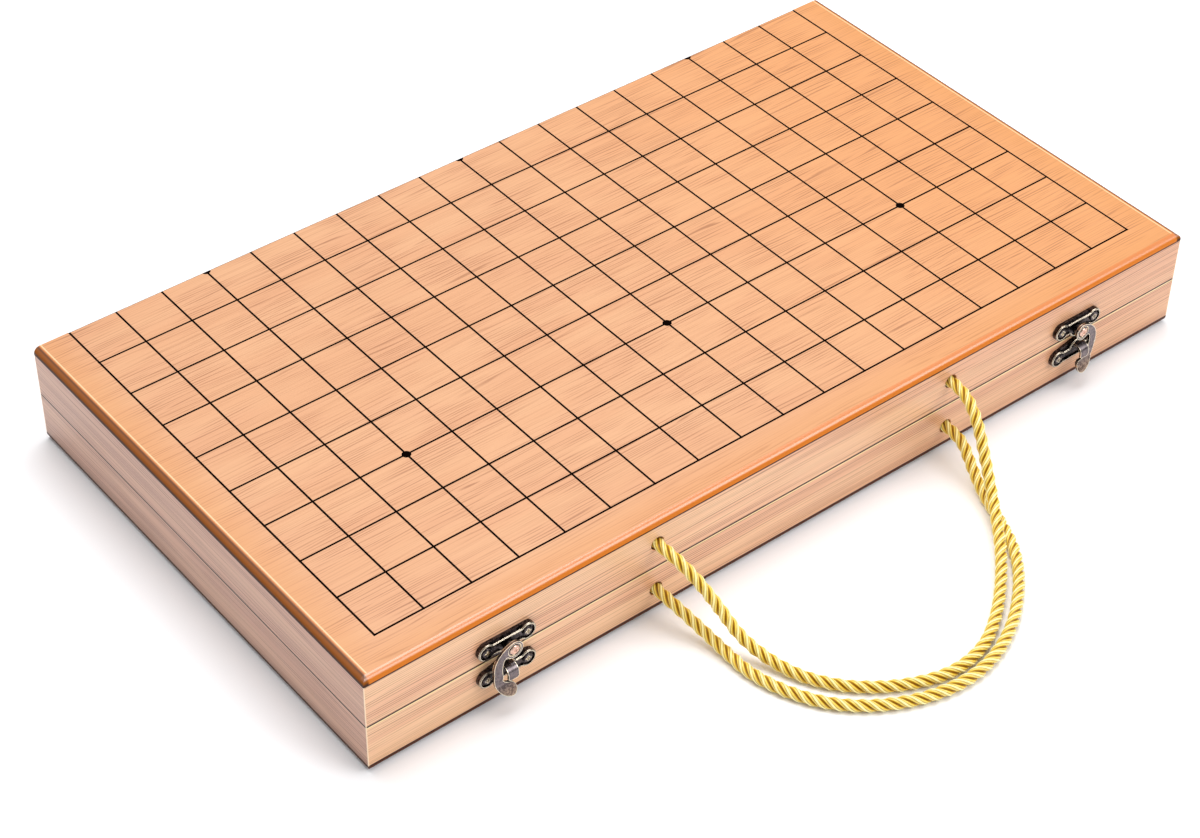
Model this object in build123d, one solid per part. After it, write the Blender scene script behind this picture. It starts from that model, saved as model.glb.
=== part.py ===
from build123d import *
import math
import os

# A folding go set: a shallow wooden case whose two outer faces are the two halves of the board.
# Millimetres, +Z up, lid on top. The front, with the latches and rope handles, faces -Y.
# The origin is the middle of the underside. The fold runs along X at the top of the back face.

# The case
WIDTH = 440.0
DEPTH = 240.0
HEIGHT = 50.0
BOARD_THICKNESS = 3.5
RAIL_THICKNESS = 8.0
DIVIDER_THICKNESS = 6.0
EDGE_RADIUS = 3.0
PARTING_GAP = 0.3

# The grid on each outer face: half of nineteen by nineteen lines
LINES = 19
GRID_MARGIN = 17.0
LINE_WIDTH = 0.6
LINE_DEPTH = 0.25
STAR_DIAMETER = 4.0
STAR_STEP = 6
FIRST_STAR = 3

# The butt hinges, let into the back rails with their barrel on the fold
HINGE_FROM_END = 75.0
HINGE_LENGTH = 30.0
LEAF_THICKNESS = 1.0
LEAF_END = 7.2
BARREL_RADIUS = 2.4
HINGE_PIN_RADIUS = 0.9
PIN_HEAD_RADIUS = 1.6
PIN_HEAD = 0.6
AXIS_PROUD = 0.15
POCKET_CLEARANCE = 0.3
KNUCKLE_CLEARANCE = 0.2
FIT_CLEARANCE = 0.05
HINGE_SCREW_SPACING = 18.0
HINGE_SCREW_FROM_FACE = 4.9
HINGE_SCREW_HEAD_RADIUS = 1.7
HINGE_SCREW_RADIUS = 0.9
HINGE_SCREW_LENGTH = 8.0

# The hook latches on the front rails
LATCH_FROM_END = 64.4
PLATE_LOBE_RADIUS = 4.0
PLATE_SCREW_SPACING = 19.4
PLATE_WAIST = 5.8
PLATE_THICKNESS = 2.4
PLATE_FOOT = 1.2
PLATE_RIM = 0.7
PLATE_FLOOR = 1.6
PLATE_BULGE_RADIUS = 4.4
PLATE_ROUNDING = 1.4
PLATE_CHAMFER = 0.3
HOOK_PLATE_ABOVE = 6.8
CATCH_PLATE_BELOW = 8.1
PIVOT_OFFSET = 0.5
PIVOT_DROP = 1.5
BOSS_RADIUS = 2.5
HOOK_BACK = 4.9
HOOK_THICKNESS = 1.2
HOOK_EYE_RADIUS = 4.0
EYE_RECESS_RADIUS = 3.0
EYE_RECESS = 0.5
HOOK_LENGTH = 21.2
HOOK_BOW = 9.0
HOOK_BAND = 3.8
HOOK_TIP = 1.3
HOOK_TIP_WIDTH = 5.3
HOOK_TOOTH_OUT = 4.4
HOOK_TOOTH_BELOW = 11.7
HOOK_BEND_BELOW = 15.2
HOOK_BEND_RADIUS = 1.5
HOOK_BEND_ANGLE = 27.0
HOOK_LIP = 8.0
HOOK_GAP = 0.2
LEFT_HOOK_SET = 5.0
RIGHT_HOOK_SET = -3.0
RIVET_RADIUS = 1.4
RIVET_DIMPLE_RADIUS = 1.1
RIVET_DIMPLE = 0.2
RIVET_HEAD_RADIUS = 2.2
RIVET_HEAD = 0.6
RIVET_CLEARANCE = 0.1
TAB_WIDTH = 5.0
TAB_OFFSET = -1.0
TAB_BULGE_RISE = 2.0
TAB_THICKNESS = 1.1
TAB_GAP = 0.3
TAB_RISE = 5.3
TAB_DROP = 5.8
TAB_BEND_RADIUS = 3.4
TAB_CORNER = 0.8
PLATE_SCREW_HEAD_RADIUS = 2.3
PLATE_SCREW_HEAD = 0.9
PLATE_SCREW_ROUNDING = 0.7
PLATE_SCREW_RADIUS = 0.95
PLATE_SCREW_LENGTH = 6.0
SLOT_WIDTH = 0.6
SLOT_LENGTH = 2.4
SLOT_DEPTH = 0.45
HINGE_SLOT_WIDTH = 0.3
HINGE_SLOT_DEPTH = 0.25
PILOT_CLEARANCE = 0.1

# The rope handles: each is a rope through two holes in a front rail, knotted inside
ROPE_DIAMETER = 5.2
ROPE_HOLE_DIAMETER = 6.6
HANDLE_HOLE_X = 80.0
HANDLE_PIVOT = 3.5
ROPE_CLEARANCE = 0.3
FLOOR_CLEARANCE = 0.1
KNOT_RADIUS = 6.5
KNOT_SEAT_RADIUS = 5.2
KNOT_LENGTH = 12.0
KNOT_TAIL = 7.0
CORNER_SHARE = 0.45

# The stones: double-convex, black on the left and white on the right
STONE_DIAMETER = 21.5
STONE_THICKNESS = 5.6
STONE_EDGE = 1.0
STONE_GAP = 0.3
BLACK_COUNT = 181
WHITE_COUNT = 180

# How far a cut runs past what it cuts
PAST = 1.0

# Places that follow from the sizes above
HALF_WIDTH = WIDTH / 2
HALF_DEPTH = DEPTH / 2
HINGE_X = HALF_WIDTH - HINGE_FROM_END
LATCH_X = HALF_WIDTH - LATCH_FROM_END
PARTING = HEIGHT / 2
RAIL_HEIGHT = PARTING - BOARD_THICKNESS - PARTING_GAP / 2
FRONT = -HALF_DEPTH
INNER_FRONT = FRONT + RAIL_THICKNESS
AXIS_Y = HALF_DEPTH + AXIS_PROUD
ROPE_RADIUS = ROPE_DIAMETER / 2
BASE_HOLE_Z = PARTING / 2
LID_HOLE_Z = HEIGHT - PARTING / 2
HOOK_PLATE_Z = PARTING + HOOK_PLATE_ABOVE
CATCH_PLATE_Z = PARTING - CATCH_PLATE_BELOW
PIVOT_Z = HOOK_PLATE_Z - PIVOT_DROP
HOOK_FRONT = HOOK_BACK + HOOK_THICKNESS
FLOOR_REST = ROPE_RADIUS + FLOOR_CLEARANCE

# The free ropes, from the left pivot to the right one, as the points that their route turns at
BASE_ROPE_ROUTE = [
    (-HANDLE_HOLE_X, FRONT - HANDLE_PIVOT, BASE_HOLE_Z),
    (-79.4, -131.7, 11.6),
    (-76.3, -142.3, 6.6),
    (-74.4, -156.0, 3.0),
    (-74.4, -171.5, FLOOR_REST),
    (-69.5, -188.0, FLOOR_REST),
    (-59.5, -204.5, FLOOR_REST),
    (-43.0, -217.6, FLOOR_REST),
    (-21.0, -226.0, FLOOR_REST),
    (1.5, -226.4, FLOOR_REST),
    (24.0, -217.8, FLOOR_REST),
    (43.0, -203.4, FLOOR_REST),
    (57.5, -187.0, FLOOR_REST),
    (65.6, -168.5, FLOOR_REST),
    (70.8, -153.5, 3.2),
    (76.0, -140.5, 7.2),
    (79.4, -131.6, 11.6),
    (HANDLE_HOLE_X, FRONT - HANDLE_PIVOT, BASE_HOLE_Z),
]
LID_ROPE_ROUTE = [
    (-HANDLE_HOLE_X, FRONT - HANDLE_PIVOT, LID_HOLE_Z),
    (-79.0, -132.0, 36.2),
    (-76.0, -141.0, 30.0),
    (-72.2, -149.5, 20.0),
    (-69.0, -159.5, 9.4),
    (-64.0, -173.0, 3.6),
    (-58.5, -187.5, FLOOR_REST),
    (-47.5, -202.0, FLOOR_REST),
    (-31.0, -213.6, FLOOR_REST),
    (-11.5, -220.4, FLOOR_REST),
    (8.0, -218.2, FLOOR_REST),
    (24.5, -208.6, FLOOR_REST),
    (38.5, -197.0, 3.6),
    (50.5, -184.5, 5.4),
    (60.2, -171.8, 7.8),
    (67.4, -161.0, 11.2),
    (72.4, -151.0, 19.4),
    (76.3, -141.4, 29.8),
    (79.0, -132.0, 36.2),
    (HANDLE_HOLE_X, FRONT - HANDLE_PIVOT, LID_HOLE_Z),
]


def rod_x(radius, x_low, x_high, y, z):
    """A cylinder along X."""
    return Pos((x_low + x_high) / 2, y, z) * Rot(0, 90, 0) * Cylinder(radius, x_high - x_low)


def rod_y(radius, y_low, y_high, x, z):
    """A cylinder along Y."""
    return Pos(x, (y_low + y_high) / 2, z) * Rot(90, 0, 0) * Cylinder(radius, y_high - y_low)


def block(x_low, x_high, y_low, y_high, z_low, z_high):
    """A box between two corners."""
    middle = Pos((x_low + x_high) / 2, (y_low + y_high) / 2, (z_low + z_high) / 2)
    return middle * Box(x_high - x_low, y_high - y_low, z_high - z_low)


def group(solids):
    """Separate solids that share one node."""
    return Compound(children=list(solids))


def save(shape, node):
    export_step(shape, f"parts/{node}.step")


# The two boards carry the etched half grids

def etched_lines():
    """The grooves and star points of one outer face, at their depth below z = 0."""
    pitch_x = (WIDTH - 2 * GRID_MARGIN) / (LINES - 1)
    rows = (LINES + 1) // 2
    pitch_y = (DEPTH - GRID_MARGIN) / (rows - 1)
    first_x = -HALF_WIDTH + GRID_MARGIN
    first_y = FRONT + GRID_MARGIN
    half = LINE_WIDTH / 2
    cuts = []
    for i in range(LINES):
        x = first_x + i * pitch_x
        cuts.append(block(x - half, x + half, first_y - half, HALF_DEPTH + PAST, -LINE_DEPTH, PAST))
    for j in range(rows):
        y = first_y + j * pitch_y
        cuts.append(block(first_x - half, -first_x + half, y - half, y + half, -LINE_DEPTH, PAST))
    for i in range(FIRST_STAR, LINES, STAR_STEP):
        for j in range(FIRST_STAR, rows, STAR_STEP):
            star = Cylinder(STAR_DIAMETER / 2, PAST + LINE_DEPTH)
            middle_z = (PAST - LINE_DEPTH) / 2
            cuts.append(Pos(first_x + i * pitch_x, first_y + j * pitch_y, middle_z) * star)
    return cuts


def board():
    """One board with its face at z = 0, rounded on the front and the two sides, square at the fold."""
    slab = block(-HALF_WIDTH, HALF_WIDTH, FRONT, HALF_DEPTH, -BOARD_THICKNESS, 0)
    front_edge = slab.edges().filter_by(Axis.X).group_by(Axis.Z)[-1].group_by(Axis.Y)[0]
    side_edges = slab.edges().filter_by(Axis.Y).group_by(Axis.Z)[-1]
    slab = fillet(front_edge + side_edges, EDGE_RADIUS)
    return slab - etched_lines()


# The rails are mitred at the corners

def rail(length):
    """A rail along X, outer face at y = 0, from z = 0 up."""
    half = length / 2
    outline = Polygon(
        (-half, 0),
        (half, 0),
        (half - RAIL_THICKNESS, RAIL_THICKNESS),
        (RAIL_THICKNESS - half, RAIL_THICKNESS),
        align=None,
    )
    return extrude(outline, RAIL_HEIGHT)


def four_rails(bottom):
    """The front, back, left and right rail of one half."""
    return {
        "front": Pos(0, FRONT, bottom) * rail(WIDTH),
        "back": Pos(0, HALF_DEPTH, bottom) * Rot(0, 0, 180) * rail(WIDTH),
        "left": Pos(-HALF_WIDTH, 0, bottom) * Rot(0, 0, -90) * rail(DEPTH),
        "right": Pos(HALF_WIDTH, 0, bottom) * Rot(0, 0, 90) * rail(DEPTH),
    }


def rope_holes(z):
    return [
        rod_y(ROPE_HOLE_DIAMETER / 2, FRONT - PAST, INNER_FRONT + PAST, x, z)
        for x in (-HANDLE_HOLE_X, HANDLE_HOLE_X)
    ]


def plate_screw_places(z):
    """Where the screws of both latch plates at this height go."""
    half = PLATE_SCREW_SPACING / 2
    return [(side * LATCH_X + end, z) for side in (-1, 1) for end in (-half, half)]


def plate_pilots(z):
    radius = PLATE_SCREW_RADIUS + PILOT_CLEARANCE
    return [
        rod_y(radius, FRONT - PAST, FRONT + PLATE_SCREW_LENGTH, x, z)
        for x, z in plate_screw_places(z)
    ]


def divider(bottom):
    half = DIVIDER_THICKNESS / 2
    inner = HALF_DEPTH - RAIL_THICKNESS
    return block(-half, half, -inner, inner, bottom, bottom + RAIL_HEIGHT)


# The hinges

def hinge_screw_places():
    """x and y of every screw of one half's leaves."""
    y = HALF_DEPTH - HINGE_SCREW_FROM_FACE
    half = HINGE_SCREW_SPACING / 2
    return [(side * HINGE_X + end, y) for side in (-1, 1) for end in (-half, half)]


def hinge_recesses(side):
    """What the hinges take out of a back rail. side is -1 for the base and 1 for the lid."""
    face = PARTING + side * PARTING_GAP / 2
    floor = face + side * LEAF_THICKNESS
    tip = face + side * HINGE_SCREW_LENGTH
    cuts = []
    for middle in (-HINGE_X, HINGE_X):
        half = HINGE_LENGTH / 2 + FIT_CLEARANCE
        low, high = sorted((floor, face - side * PAST))
        leaf_end = HALF_DEPTH - LEAF_END - FIT_CLEARANCE
        cuts.append(block(middle - half, middle + half, leaf_end, HALF_DEPTH + PAST, low, high))
        reach = half + PIN_HEAD + POCKET_CLEARANCE
        pocket = BARREL_RADIUS + POCKET_CLEARANCE
        cuts.append(rod_x(pocket, middle - reach, middle + reach, AXIS_Y, PARTING))
    for x, y in hinge_screw_places():
        pilot = Cylinder(HINGE_SCREW_RADIUS + PILOT_CLEARANCE, HINGE_SCREW_LENGTH)
        cuts.append(Pos(x, y, (face + tip) / 2) * pilot)
    return cuts


def knuckle_spans(middle, side):
    """The stretches of barrel on one leaf: the base has the two outer ones, the lid the middle one."""
    third = HINGE_LENGTH / 3
    gap = KNUCKLE_CLEARANCE / 2
    if side > 0:
        return [(middle - third / 2 + gap, middle + third / 2 - gap)]
    end = HINGE_LENGTH / 2
    return [
        (middle - end, middle - third / 2 - gap),
        (middle + third / 2 + gap, middle + end),
    ]


def countersink(x, y, side, spare):
    """A screw head's cone, wide at the parting face, grown by spare."""
    face = PARTING + side * PARTING_GAP / 2
    wide = HINGE_SCREW_HEAD_RADIUS + spare
    narrow = HINGE_SCREW_RADIUS + spare
    cone = Cone(wide, narrow, LEAF_THICKNESS)
    turn = Rot(180, 0, 0) if side < 0 else Rot(0, 0, 0)
    return Pos(x, y, face + side * LEAF_THICKNESS / 2) * turn * cone


def hinge_leaf(middle, side):
    """One leaf with its knuckles. side is -1 for the base and 1 for the lid."""
    face = PARTING + side * PARTING_GAP / 2
    low, high = sorted((face, face + side * LEAF_THICKNESS))
    clear = AXIS_Y - BARREL_RADIUS - POCKET_CLEARANCE
    start = HALF_DEPTH - LEAF_END
    half = HINGE_LENGTH / 2
    leaf = block(middle - half, middle + half, start, clear, low, high)
    for x_low, x_high in knuckle_spans(middle, side):
        leaf += rod_x(BARREL_RADIUS, x_low, x_high, AXIS_Y, PARTING)
        leaf += block(x_low, x_high, clear, AXIS_Y, low, high)
    bore = HINGE_PIN_RADIUS + FIT_CLEARANCE
    leaf -= rod_x(bore, middle - half - PAST, middle + half + PAST, AXIS_Y, PARTING)
    for x, y in hinge_screw_places():
        if abs(x - middle) < half:
            leaf -= countersink(x, y, side, FIT_CLEARANCE)
    return leaf


def hinge_pin(middle):
    """A pin with a small head at each end, which keeps it in the barrel."""
    half = HINGE_LENGTH / 2 + FIT_CLEARANCE
    pin = rod_x(HINGE_PIN_RADIUS, middle - half, middle + half, AXIS_Y, PARTING)
    for end in (-1, 1):
        low, high = sorted((middle + end * half, middle + end * (half + PIN_HEAD)))
        pin += rod_x(PIN_HEAD_RADIUS, low, high, AXIS_Y, PARTING)
    return pin


def hinge_screw(x, y, side):
    face = PARTING + side * PARTING_GAP / 2
    shank_low, shank_high = sorted((face + side * LEAF_THICKNESS, face + side * HINGE_SCREW_LENGTH))
    shank = Cylinder(HINGE_SCREW_RADIUS, shank_high - shank_low)
    screw = countersink(x, y, side, 0) + Pos(x, y, (shank_low + shank_high) / 2) * shank
    return screw - block(
        x - SLOT_LENGTH / 2,
        x + SLOT_LENGTH / 2,
        y - HINGE_SLOT_WIDTH / 2,
        y + HINGE_SLOT_WIDTH / 2,
        face - HINGE_SLOT_DEPTH,
        face + HINGE_SLOT_DEPTH,
    )


# The latches. Everything is drawn for the left one, as seen from the front, and mirrored for the right

def front_plane(depth):
    """The plane of the case's front face, moved out by depth: its x is X and its y is Z."""
    return Plane(origin=(0, FRONT - depth, 0), x_dir=(1, 0, 0), z_dir=(0, -1, 0))


def plate_outline(grow, bulge):
    """Two screw lobes, a waist and a round bulge between them, which lies below or above the screws."""
    half = PLATE_SCREW_SPACING / 2
    lobe = Circle(PLATE_LOBE_RADIUS + grow)
    outline = Pos(-half, 0) * lobe + Pos(half, 0) * lobe
    outline += Rectangle(PLATE_SCREW_SPACING, PLATE_WAIST + 2 * grow)
    outline += Pos(*bulge) * Circle(PLATE_BULGE_RADIUS + grow)
    rounded = offset(outline, PLATE_ROUNDING)
    return offset(rounded, -PLATE_ROUNDING)


def plate_blank(z, bulge):
    """A latch plate: a foot with straight sides, and on it a raised rim round a sunk floor."""
    place = Pos(-LATCH_X, z)
    outline = plate_outline(0, bulge)
    body = extrude(front_plane(0) * (place * outline), PLATE_THICKNESS)
    body = chamfer(body.edges().group_by(Axis.Y)[0], PLATE_CHAMFER)
    body += extrude(front_plane(0) * (place * make_hull(outline.edges())), PLATE_FOOT)
    floor = front_plane(PLATE_FLOOR) * (place * plate_outline(-PLATE_RIM, bulge))
    body -= extrude(floor, PLATE_THICKNESS)
    for x in (-PLATE_SCREW_SPACING / 2, PLATE_SCREW_SPACING / 2):
        radius = PLATE_SCREW_RADIUS + PILOT_CLEARANCE
        body -= rod_y(radius, FRONT - PLATE_THICKNESS - PAST, FRONT + PAST, x - LATCH_X, z)
    return body


def hook_plate():
    """The plate on the lid, with the boss that the hook turns on."""
    x = PIVOT_OFFSET - LATCH_X
    plate = plate_blank(HOOK_PLATE_Z, (PIVOT_OFFSET, -PIVOT_DROP))
    plate += rod_y(BOSS_RADIUS, FRONT - HOOK_BACK + HOOK_GAP, FRONT - PLATE_FLOOR, x, PIVOT_Z)
    bore = RIVET_RADIUS + FIT_CLEARANCE
    return plate - rod_y(bore, FRONT - HOOK_BACK - PAST, FRONT + PAST, x, PIVOT_Z)


def catch_tab():
    """The catch: a strip that stands out of its plate and turns down in front of the hook."""
    top = CATCH_PLATE_Z + TAB_RISE
    under = top - TAB_THICKNESS
    back = FRONT - PLATE_FLOOR
    inside = FRONT - HOOK_FRONT - TAB_GAP
    outside = inside - TAB_THICKNESS
    bend = TAB_BEND_RADIUS
    bend_in = bend - TAB_THICKNESS
    profile = Polyline((back, top), (outside + bend, top))
    profile += JernArc((outside + bend, top), (-1, 0), bend, 90)
    profile += Polyline((outside, top - bend), (outside, top - TAB_DROP), (inside, top - TAB_DROP))
    profile += Line((inside, top - TAB_DROP), (inside, under - bend_in))
    profile += JernArc((inside, under - bend_in), (0, 1), bend_in, -90)
    profile += Polyline((inside + bend_in, under), (back, under), (back, top))
    side = Plane(origin=(TAB_OFFSET - LATCH_X - TAB_WIDTH / 2, 0, 0), x_dir=(0, 1, 0), z_dir=(1, 0, 0))
    tab = extrude(side * make_face(profile.edges()), TAB_WIDTH)
    corners = tab.edges().filter_by(Axis.Y).group_by(Axis.Z)[0]
    return chamfer(corners, TAB_CORNER)


def catch_plate():
    """The plate on the base, with its catch."""
    return plate_blank(CATCH_PLATE_Z, (TAB_OFFSET, TAB_BULGE_RISE)) + catch_tab()


def hook_outline():
    """The hook seen from the front, about its pivot: an eye, and a crescent that opens to the right.

    A tooth inside the crescent goes under the catch, and its lower end is a rounded lip for a fingertip.
    """
    eye, low, tip = HOOK_EYE_RADIUS, -HOOK_LENGTH, HOOK_TIP
    outer = -HOOK_BOW
    inner = HOOK_BAND - HOOK_BOW
    half_tip = HOOK_TIP_WIDTH / 2
    tip_start = (tip - half_tip, low)
    mouth = (tip - half_tip, low + HOOK_TIP_WIDTH)
    side = (outer, 0.42 * low)
    bend = (0.86 * outer, 0.78 * low)
    hollow = (0.9 * inner, 0.64 * low)
    tooth = (-HOOK_TOOTH_OUT, -HOOK_TOOTH_BELOW)
    neck = (0.9 * inner, 0.18 * low)
    throat = (0.43 * inner, 0.12 * low)
    crescent = ThreePointArc((0, eye), (0.77 * outer, 0), side)
    crescent += ThreePointArc(side, (0.97 * outer, 0.62 * low), bend)
    crescent += ThreePointArc(bend, (0.45 * outer, 0.96 * low), tip_start)
    crescent += ThreePointArc(tip_start, (tip, low + half_tip), mouth)
    crescent += ThreePointArc(mouth, (0.6 * inner, 0.72 * low), hollow)
    crescent += ThreePointArc(hollow, (0.86 * inner, 0.59 * low), tooth)
    crescent += ThreePointArc(tooth, (inner, 0.37 * low), neck)
    crescent += ThreePointArc(neck, (0.68 * inner, 0.12 * low), throat)
    crescent += Polyline(throat, (0, 0), (0, eye))
    return make_face(crescent.edges()) + Circle(eye)


def hook_sheet():
    """The hook's sheet metal from the side: straight down, then bent out for a fingertip."""
    back = FRONT - HOOK_BACK
    front = FRONT - HOOK_FRONT
    bend_z = PIVOT_Z - HOOK_BEND_BELOW
    top = PIVOT_Z + HOOK_EYE_RADIUS + PAST
    angle = math.radians(HOOK_BEND_ANGLE)
    centre_y = front - HOOK_BEND_RADIUS

    def on_bend(radius, turn):
        return (centre_y + radius * math.cos(turn), bend_z - radius * math.sin(turn))

    def lip_end(radius):
        y, z = on_bend(radius, angle)
        return (y - HOOK_LIP * math.sin(angle), z - HOOK_LIP * math.cos(angle))

    outer = HOOK_BEND_RADIUS + HOOK_THICKNESS
    inner = HOOK_BEND_RADIUS
    profile = Polyline((front, bend_z), (front, top), (back, top), (back, bend_z))
    profile += ThreePointArc((back, bend_z), on_bend(outer, angle / 2), on_bend(outer, angle))
    profile += Polyline(on_bend(outer, angle), lip_end(outer), lip_end(inner), on_bend(inner, angle))
    profile += ThreePointArc(on_bend(inner, angle), on_bend(inner, angle / 2), (front, bend_z))
    pivot_x = PIVOT_OFFSET - LATCH_X
    side = Plane(origin=(pivot_x, 0, 0), x_dir=(0, 1, 0), z_dir=(1, 0, 0))
    return extrude(side * make_face(profile.edges()), HOOK_LENGTH, both=True)


def hook(set_angle):
    """A hook, swung outwards from upright by set_angle degrees."""
    x = PIVOT_OFFSET - LATCH_X
    outline = front_plane(0) * (Pos(x, PIVOT_Z) * hook_outline())
    body = extrude(outline, HOOK_FRONT + HOOK_LENGTH) & hook_sheet()
    bore = RIVET_RADIUS + RIVET_CLEARANCE
    body -= rod_y(bore, FRONT - HOOK_FRONT - PAST, FRONT - HOOK_BACK + PAST, x, PIVOT_Z)
    body -= rod_y(EYE_RECESS_RADIUS, FRONT - HOOK_FRONT - PAST, FRONT - HOOK_FRONT + EYE_RECESS, x, PIVOT_Z)
    pivot = Axis((x, 0, PIVOT_Z), (0, 1, 0))
    return body.rotate(pivot, set_angle)


def pivot_rivet():
    """A rivet through the plate's boss and the hook's eye, with a dimple in its head."""
    x = PIVOT_OFFSET - LATCH_X
    head_back = FRONT - HOOK_FRONT + EYE_RECESS - HOOK_GAP
    rivet = rod_y(RIVET_RADIUS, head_back, FRONT - FIT_CLEARANCE, x, PIVOT_Z)
    head = rod_y(RIVET_HEAD_RADIUS, head_back - RIVET_HEAD, head_back, x, PIVOT_Z)
    rivet += chamfer(head.edges().group_by(Axis.Y)[0], RIVET_HEAD / 2)
    top = head_back - RIVET_HEAD
    return rivet - rod_y(RIVET_DIMPLE_RADIUS, top - PAST, top + RIVET_DIMPLE, x, PIVOT_Z)


def plate_screw(x, z):
    """A small round-headed screw with a cross slot, in a latch plate."""
    under = FRONT - PLATE_FLOOR
    tip = under + PLATE_SCREW_LENGTH
    screw = rod_y(PLATE_SCREW_RADIUS, under, tip, x, z)
    head = rod_y(PLATE_SCREW_HEAD_RADIUS, under - PLATE_SCREW_HEAD, under, x, z)
    screw += fillet(head.edges().group_by(Axis.Y)[0], PLATE_SCREW_ROUNDING)
    top = under - PLATE_SCREW_HEAD
    long, short = SLOT_LENGTH / 2, SLOT_WIDTH / 2
    for wide, tall in ((long, short), (short, long)):
        screw -= block(x - wide, x + wide, top - PAST, top + SLOT_DEPTH, z - tall, z + tall)
    return screw


def both_sides(shape):
    """A left piece and its mirror image on the right."""
    return shape, mirror(shape, about=Plane.YZ)


# The rope handles

def rope_knot(x, z):
    """The fixed end of a rope: the stretch in its hole, the knot behind the rail and the cut tail."""
    mouth = FRONT - HANDLE_PIVOT + ROPE_RADIUS + ROPE_CLEARANCE
    back = INNER_FRONT + KNOT_LENGTH
    tail = back + KNOT_TAIL
    seat = (KNOT_SEAT_RADIUS, INNER_FRONT)
    widest = (KNOT_RADIUS, INNER_FRONT + KNOT_LENGTH / 2)
    profile = Polyline((0, mouth), (ROPE_RADIUS, mouth), (ROPE_RADIUS, INNER_FRONT), seat)
    profile += ThreePointArc(seat, widest, (ROPE_RADIUS, back))
    profile += Polyline((ROPE_RADIUS, back), (ROPE_RADIUS, tail), (0, tail), (0, mouth))
    return Pos(x, 0, z) * revolve(make_face(profile.edges()), Axis.Y)


def corner_radii(points):
    """For each corner of a route, 0.45 of its shorter run over the tangent of half its turn."""
    radii = []
    for before, at, after in zip(points, points[1:], points[2:]):
        run_in = Vector(*at) - Vector(*before)
        run_out = Vector(*after) - Vector(*at)
        turn = math.radians(run_in.get_angle(run_out))
        radii.append(CORNER_SHARE * min(run_in.length, run_out.length) / math.tan(turn / 2))
    return radii


def rope_loop(points, name):
    """The free rope of a handle: a tube along its route, round at both ends where it turns."""
    radii = corner_radii(points)
    path = FilletPolyline(*points, radius=radii)
    start = Plane(origin=path @ 0, z_dir=path % 0)
    tube = sweep(start * Circle(ROPE_RADIUS), path=path)
    wanted = math.pi * ROPE_RADIUS**2 * path.length
    print(f"{name}: length {path.length:.1f}, tube {tube.volume:.0f} of {wanted:.0f} mm3")
    print(f"{name}: radii", ", ".join(f"{r:.0f}" for r in radii))
    half_ball = Sphere(ROPE_RADIUS, arc_size1=0, align=None)
    for at, out in ((path @ 0, -(path % 0)), (path @ 1, path % 1)):
        tube += Plane(origin=at, z_dir=out) * half_ball
    return tube


# The stones

def stone():
    """A double-convex stone about its own middle."""
    radius = STONE_DIAMETER / 2
    edge = STONE_EDGE / 2
    top = STONE_THICKNESS / 2
    cap = cap_radius()
    lean = math.asin(radius / cap) / 2
    between = (cap * math.sin(lean), top - cap + cap * math.cos(lean))
    half = Line((0, 0), (0, top)) + ThreePointArc((0, top), between, (radius, edge))
    half += Line((radius, edge), (radius, 0)) + Line((radius, 0), (0, 0))
    solid = revolve(Plane.XZ * make_face(half.edges()), Axis.Z)
    return solid + mirror(solid, about=Plane.XY)


def cap_radius():
    """The radius of a stone's two domes."""
    rise = (STONE_THICKNESS - STONE_EDGE) / 2
    return ((STONE_DIAMETER / 2) ** 2 + rise**2) / (2 * rise)


def layer_step():
    """How far a stone lies above the four that it nests between."""
    apart = (STONE_DIAMETER + STONE_GAP) / math.sqrt(2)
    reach = 2 * cap_radius() + STONE_GAP
    return math.sqrt(reach**2 - apart**2) - 2 * cap_radius() + STONE_THICKNESS


def stone_places(x_low, x_high, count):
    """The middles of stones laid in nested layers in one compartment, clear of the rope's knots."""
    pitch = STONE_DIAMETER + STONE_GAP
    y_low, y_high = INNER_FRONT, HALF_DEPTH - RAIL_THICKNESS
    columns = int((x_high - x_low - STONE_GAP) // pitch)
    rows = int((y_high - y_low - STONE_GAP) // pitch)
    bottom = BOARD_THICKNESS + STONE_GAP / 2 + STONE_THICKNESS / 2
    knot_end = INNER_FRONT + KNOT_LENGTH + KNOT_TAIL
    places = []
    for layer in range(count):
        if len(places) >= count:
            break
        fewer = layer % 2
        for row in range(rows - fewer):
            for column in range(columns - fewer):
                x = (x_low + x_high) / 2 + (column - (columns - fewer - 1) / 2) * pitch
                y = y_high - STONE_GAP - STONE_DIAMETER / 2 - (row + fewer / 2) * pitch
                beside = abs(abs(x) - HANDLE_HOLE_X) - KNOT_RADIUS - STONE_DIAMETER / 2
                behind = y - STONE_DIAMETER / 2 - knot_end
                if max(beside, behind) > STONE_GAP:
                    places.append((x, y, bottom + layer * layer_step()))
    return places[:count]


def stones(x_low, x_high, count):
    one = stone()
    return group(Pos(*place) * one for place in stone_places(x_low, x_high, count))


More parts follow.
